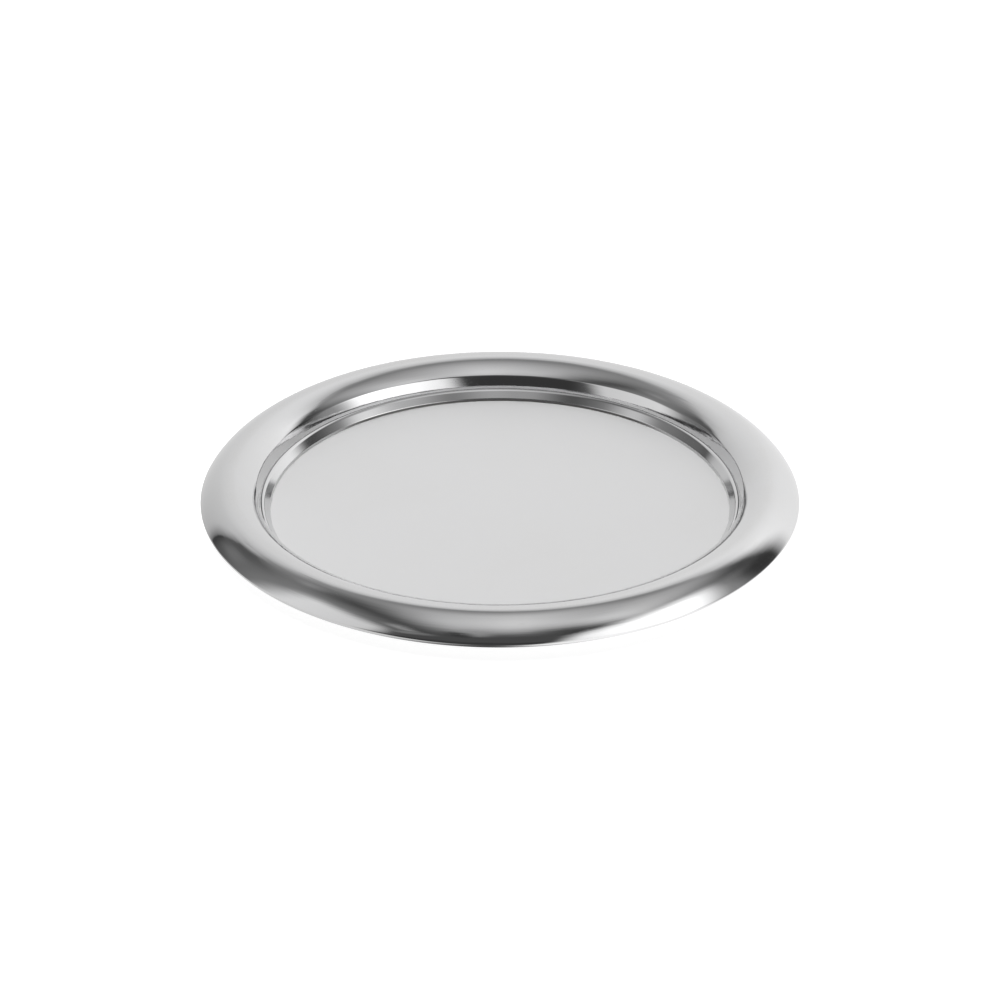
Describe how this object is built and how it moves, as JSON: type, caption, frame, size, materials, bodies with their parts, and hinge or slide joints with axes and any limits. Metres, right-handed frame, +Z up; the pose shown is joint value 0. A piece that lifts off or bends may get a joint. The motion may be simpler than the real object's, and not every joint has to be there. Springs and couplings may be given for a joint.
{
  "type": "round serving tray",
  "caption": "Round steel serving tray: flat satin floor pan seated in a wide, mirror-polished domed rim with a rolled outer edge.",
  "frame": {"origin": "centre of the foot's underside, on the surface the tray stands on", "axes": "+Z up along the tray's axis of turning; +X and +Y lie in the surface it stands on"},
  "size_m": [0.35, 0.35, 0.0232],
  "materials": {
    "satin_steel": "fine satin, even and directionless",
    "polished_steel": "mirror polished",
    "wire_steel": "plain drawn wire"
  },
  "bodies": {
    "root": {"floor_pan": "satin_steel", "rim_ring": "polished_steel", "edge_wire": "wire_steel"}
  },
  "joints": []
}
